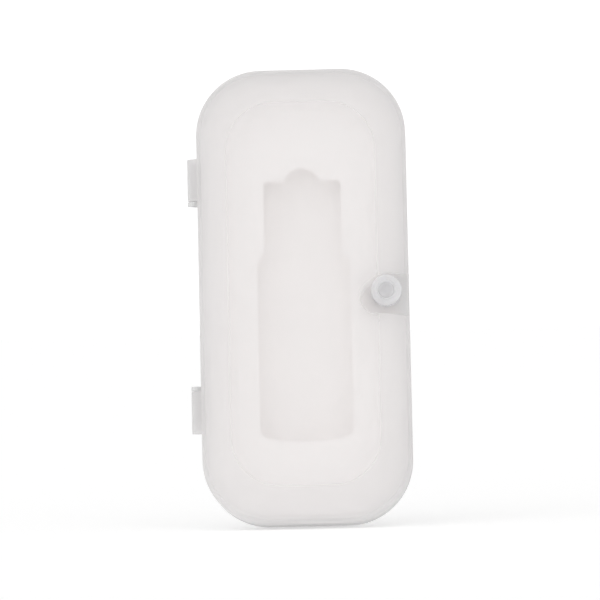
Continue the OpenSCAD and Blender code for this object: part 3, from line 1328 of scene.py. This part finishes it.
@dataclass
class Stage:
    """The floor, the light and the camera.

    The case leans back a little from the camera's level, so the floor tips with it about the
    rear edge of the foot.
    """

    space: CaseSpace
    lean: float = 6.0
    turn: float = 1.6
    roll: float = 1.24
    distance: float = 1.0
    lens: float = 272.0
    aim_x: float = -1.09
    aim_z: float = 49.78
    sun: float = 0.36
    sun_height: float = 42.0
    sun_side: float = -12.0
    fill: float = 0.22
    fill_height: float = 2.0
    fill_side: float = -50.0
    softness: float = 75.0
    sky: float = 0.56
    sky_front: float = 0.38
    sky_top: float = 0.08
    table: float = 0.36
    table_tone: float = 0.8
    rear_radius: float = 3.0
    floor_gap: float = 0.02
    backdrop: float = 1.1

    def floor(self) -> None:
        """A pale round floor that touches the case's rear lower edge and tips by the lean."""
        steps = 96
        a = np.linspace(0, 2 * np.pi, steps, endpoint=False)
        radii = np.array([0.05, 0.15, 0.4, 1.0, 2.5, 6.0])[:, None]
        x, y = radii * np.cos(a), radii * np.sin(a)
        tip = math.tan(math.radians(self.lean))
        contact = (self.space.parting + self.space.base_depth - self.rear_radius) * MM
        z = (y - contact) * tip - self.floor_gap * MM
        rows = np.stack([x, y, z], axis=2)
        made = Patchwork()
        made.add_grid(rows / MM)
        made.add_cap(rows[0] / MM, flip=True)
        floor = made.build("floor", lambda p: p * MM)
        material, tree = empty_material("studio_floor")
        body = add_node(tree, "ShaderNodeBsdfPrincipled", {
            "Base Color": (*[self.table_tone] * 3, 1), "Roughness": 0.9, "Specular IOR Level": 0.1,
            "Emission Color": WHITE, "Emission Strength": self.table})
        add_node(tree, "ShaderNodeOutputMaterial", {"Surface": body.outputs[0]})
        floor.data.materials.append(material)
        floor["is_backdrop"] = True

    def lamp(self, name: str, strength: float, side: float, height: float) -> None:
        """A very soft distant lamp.

        Args:
            name: Its name.
            strength: Its irradiance.
            side: How far to the right of straight ahead it stands, in degrees.
            height: How high it stands, in degrees.
        """
        data = bpy.data.lights.new(name, "SUN")
        data.energy, data.angle = strength, math.radians(self.softness)
        lamp = bpy.data.objects.new(name, data)
        bpy.context.scene.collection.objects.link(lamp)
        a, e = math.radians(side), math.radians(height)
        back = Vector((math.sin(a) * math.cos(e), -math.cos(a) * math.cos(e), math.sin(e)))
        lamp.rotation_mode = "QUATERNION"
        lamp.rotation_quaternion = (-back).to_track_quat("-Z", "Y")

    def sky_light(self) -> None:
        """Soft studio light from all round, stronger from the front and from above.

        Its strength is a base value plus a share of the direction's forward part and a share
        of its upward part. The camera sees a white backdrop in its place.
        """
        scene = bpy.context.scene
        world = bpy.data.worlds.new("studio")
        scene.world = world
        world.use_nodes = True
        tree = world.node_tree
        tree.nodes.clear()
        seen = add_node(tree, "ShaderNodeLightPath").outputs["Is Camera Ray"]
        way = add_node(tree, "ShaderNodeTexCoord").outputs["Generated"]
        axes = add_node(tree, "ShaderNodeSeparateXYZ", {0: way}).outputs
        front = add_node(tree, "ShaderNodeMapRange", {
            "Value": axes["Y"], "From Min": 0.0, "From Max": -1.0, "To Min": self.sky,
            "To Max": self.sky + self.sky_front})
        above = add_node(tree, "ShaderNodeMapRange", {"Value": axes["Z"], "To Max": self.sky_top})
        parts = {0: front.outputs[0], 1: above.outputs[0]}
        strength = add_node(tree, "ShaderNodeMath", parts, operation="ADD")
        light = add_node(tree, "ShaderNodeBackground", {"Color": WHITE, "Strength": strength.outputs[0]})
        drop = add_node(tree, "ShaderNodeBackground", {"Color": WHITE, "Strength": self.backdrop})
        both = add_node(tree, "ShaderNodeMixShader", {0: seen, 1: light.outputs[0], 2: drop.outputs[0]})
        add_node(tree, "ShaderNodeOutputWorld", {"Surface": both.outputs[0]})
        scene.view_settings.view_transform = "Standard"

    def camera(self) -> None:
        """A long lens, level with the tipped floor, turned slightly to the case's right."""
        data = bpy.data.cameras.new("camera")
        data.lens, data.sensor_width = self.lens, 36
        data.clip_start, data.clip_end = 0.01, 50
        camera = bpy.data.objects.new("camera", data)
        bpy.context.scene.collection.objects.link(camera)
        a, e = math.radians(self.turn), -math.radians(self.lean)
        back = Vector((math.sin(a) * math.cos(e), -math.cos(a) * math.cos(e), math.sin(e)))
        aim = Vector((self.aim_x * MM, 0, self.aim_z * MM))
        camera.location = aim + back * self.distance
        look = (-back).to_track_quat("-Z", "Y").to_matrix().to_4x4()
        camera.rotation_mode = "QUATERNION"
        tilt = Matrix.Rotation(-math.radians(self.roll), 4, "Z")
        camera.rotation_quaternion = (look @ tilt).to_quaternion()
        bpy.context.scene.camera = camera

    def build(self) -> None:
        """Sets up the floor, the lights and the camera."""
        self.floor()
        self.lamp("softbox", self.sun, self.sun_side, self.sun_height)
        self.lamp("fill", self.fill, self.fill_side, self.fill_height)
        self.sky_light()
        self.camera()


def main() -> None:
    """Builds the stage and every piece."""
    logging.basicConfig(level=logging.INFO, format="%(name)s: %(message)s")
    space = CaseSpace.from_frame()
    outline = Outline(space.half_w, space.half_h)
    sizes = ShellSizes()
    hinges = Hinges(space)
    Stage(space).build()
    made = {finish: finish.value.make() for finish in Finish}

    dress(BaseShell(space, outline, sizes, hinges).build(), made[Finish.BASE],
          "base", ["base_shell"])
    dress(LidShell(space, outline, sizes, hinges).build(), made[Finish.LID],
          "lid", ["lid_shell"])
    dress(SnapButton(space, outline, sizes).build(), made[Finish.BUTTON],
          "lid", ["snap_button"])
    for pin, node in zip(HingePins(hinges).build(), ("hinge_pin_upper", "hinge_pin_lower")):
        dress(pin, made[Finish.BASE], "base", [node])
    foam = Foam(space, outline, sizes)
    for piece, node in ((foam.build_insert(), "foam_insert"), (foam.build_backing(), "foam_backing")):
        dress(piece, made[Finish.FOAM], "base", [node])

    boxes = {"cad": CAD_BOX, "visual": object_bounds()}
    {name: [list(corner) for corner in box] for name, box in boxes.items()}


if __name__ == "__main__":
    main()
